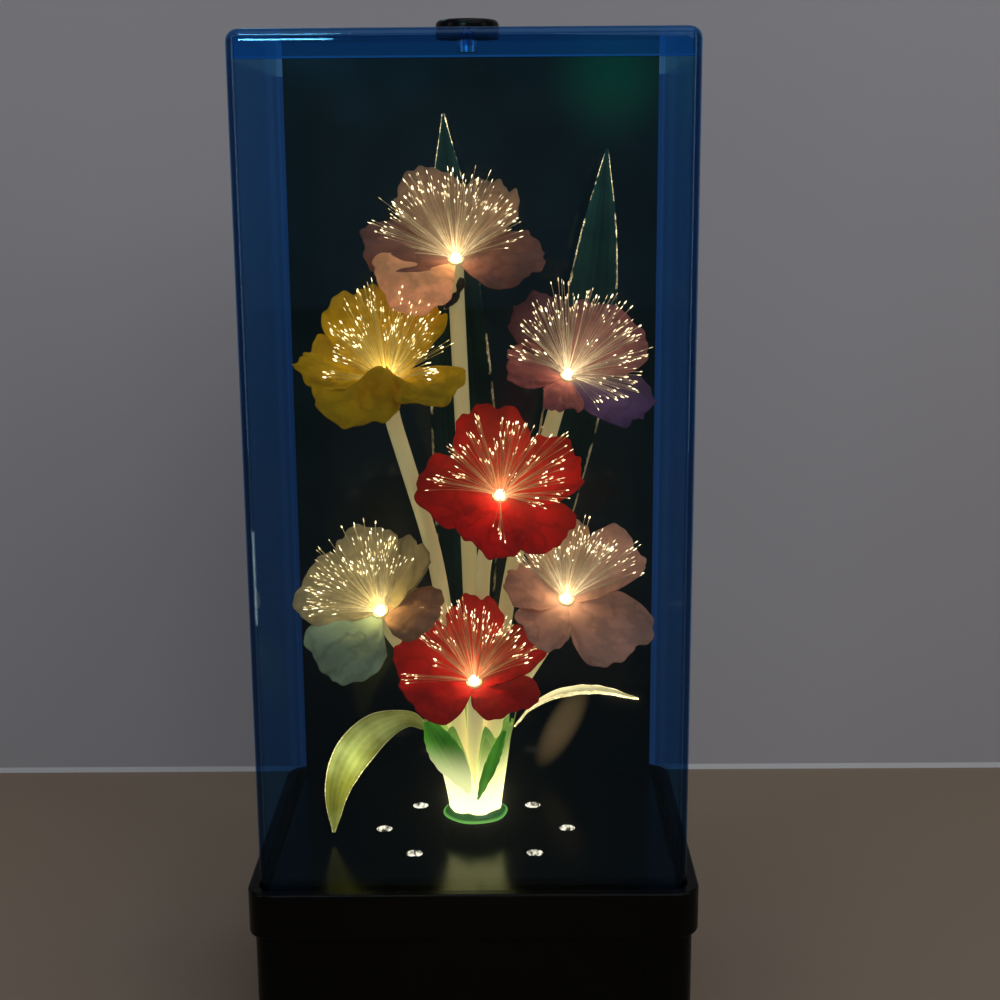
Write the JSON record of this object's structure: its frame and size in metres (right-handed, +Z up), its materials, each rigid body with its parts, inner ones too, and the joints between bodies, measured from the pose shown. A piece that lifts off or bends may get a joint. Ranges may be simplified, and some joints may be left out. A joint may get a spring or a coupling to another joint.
{
  "type": "fibre optic lamp",
  "caption": "Table lamp: a bouquet of light-guide flowers under a clear tinted cover on a black base with a lamp and turning colour wheel.",
  "frame": {"origin": "on the table under the middle of the base", "axes": "+Z up, +Y towards the rear, where the black panel, the switch and the cord inlet are; +X to the right seen from the front"},
  "size_m": [0.1588, 0.1208, 0.3682],
  "materials": {
    "cover_tint": "clear blue tint, polished",
    "gloss_black": "gloss",
    "panel_black": "smooth sheet, gloss",
    "satin_black": "satin",
    "rubber_black": "matt",
    "zinc_steel": "zinc plated",
    "clear_glass": "polished",
    "ceramic_white": "unglazed",
    "nylon_white": "moulded",
    "filter_film": "dyed film",
    "core_steel": "varnished",
    "winding_tape": "tape",
    "motor_zinc": "plated",
    "brass": "bare",
    "lead_white": "insulation",
    "stem_ivory": "smooth tube",
    "guide_clear": "clear fibre",
    "sheath_green": "translucent",
    "leaf_green": "stiffened cloth, gilt edge",
    "petal_peach": "thin cloth",
    "petal_yellow": "thin cloth",
    "petal_purple": "thin cloth",
    "petal_red": "thin cloth",
    "petal_cream": "thin cloth",
    "petal_pink": "thin cloth",
    "petal_rose": "thin cloth"
  },
  "bodies": {
    "base": {"base_housing": "gloss_black", "deck_plate": "gloss_black", "bottom_plate": "satin_black", "rubber_feet": "rubber_black", "case_screws": "zinc_steel", "bundle_socket": "gloss_black", "socket_nut": "satin_black", "lamp_reflector": "clear_glass", "lamp_capsule": "clear_glass", "lamp_holder": "ceramic_white", "lamp_bracket": "zinc_steel", "wheel_motor": "motor_zinc", "motor_bracket": "zinc_steel", "transformer_core": "core_steel", "transformer_winding": "winding_tape", "transformer_strap": "zinc_steel", "bracket_screws": "zinc_steel", "switch_body": "satin_black", "switch_tabs": "brass", "cord_inlet": "rubber_black", "terminal_block": "nylon_white", "switch_lead": "lead_white", "transformer_lead": "lead_white", "lamp_lead": "lead_white", "motor_lead": "lead_white", "leaf_sheath": "sheath_green", "leaf_tall_middle": "leaf_green", "leaf_tall_right": "leaf_green", "leaf_droop_left": "leaf_green", "leaf_droop_right": "leaf_green", "small_leaves": "leaf_green", "stem_peach": "stem_ivory", "guides_peach": "guide_clear", "petals_peach": "petal_peach", "stem_yellow": "stem_ivory", "guides_yellow": "guide_clear", "petals_yellow": "petal_yellow", "stem_purple": "stem_ivory", "guides_purple": "guide_clear", "petals_purple": "petal_purple", "stem_red": "stem_ivory", "guides_red": "guide_clear", "petals_red": "petal_red", "stem_cream": "stem_ivory", "guides_cream": "guide_clear", "petals_cream": "petal_cream", "stem_pink": "stem_ivory", "guides_pink": "guide_clear", "petals_pink": "petal_pink", "stem_rose": "stem_ivory", "guides_rose": "guide_clear", "petals_rose": "petal_rose"},
    "cover": {"display_cover": "cover_tint", "back_panel": "panel_black", "lift_knob": "gloss_black", "knob_screw": "zinc_steel"},
    "wheel": {"wheel_frame": "nylon_white", "wheel_filters": "filter_film", "wheel_shaft": "zinc_steel"},
    "rocker": {"rocker": "gloss_black"}
  },
  "joints": [
    {"name": "cover_lift", "type": "slide", "parent": "base", "child": "cover", "axis": [0, 0, 1], "range_m": [0, 0.29]},
    {"name": "wheel_spin", "type": "hinge", "parent": "base", "child": "wheel", "pos_m": [0.03, 0, 0.049], "axis": [0, 0, 1], "continuous": true},
    {"name": "rocker_tilt", "type": "hinge", "parent": "base", "child": "rocker", "pos_m": [0.019, 0.0561, 0.034], "axis": [1, 0, 0], "range_deg": [-16, 0]}
  ]
}
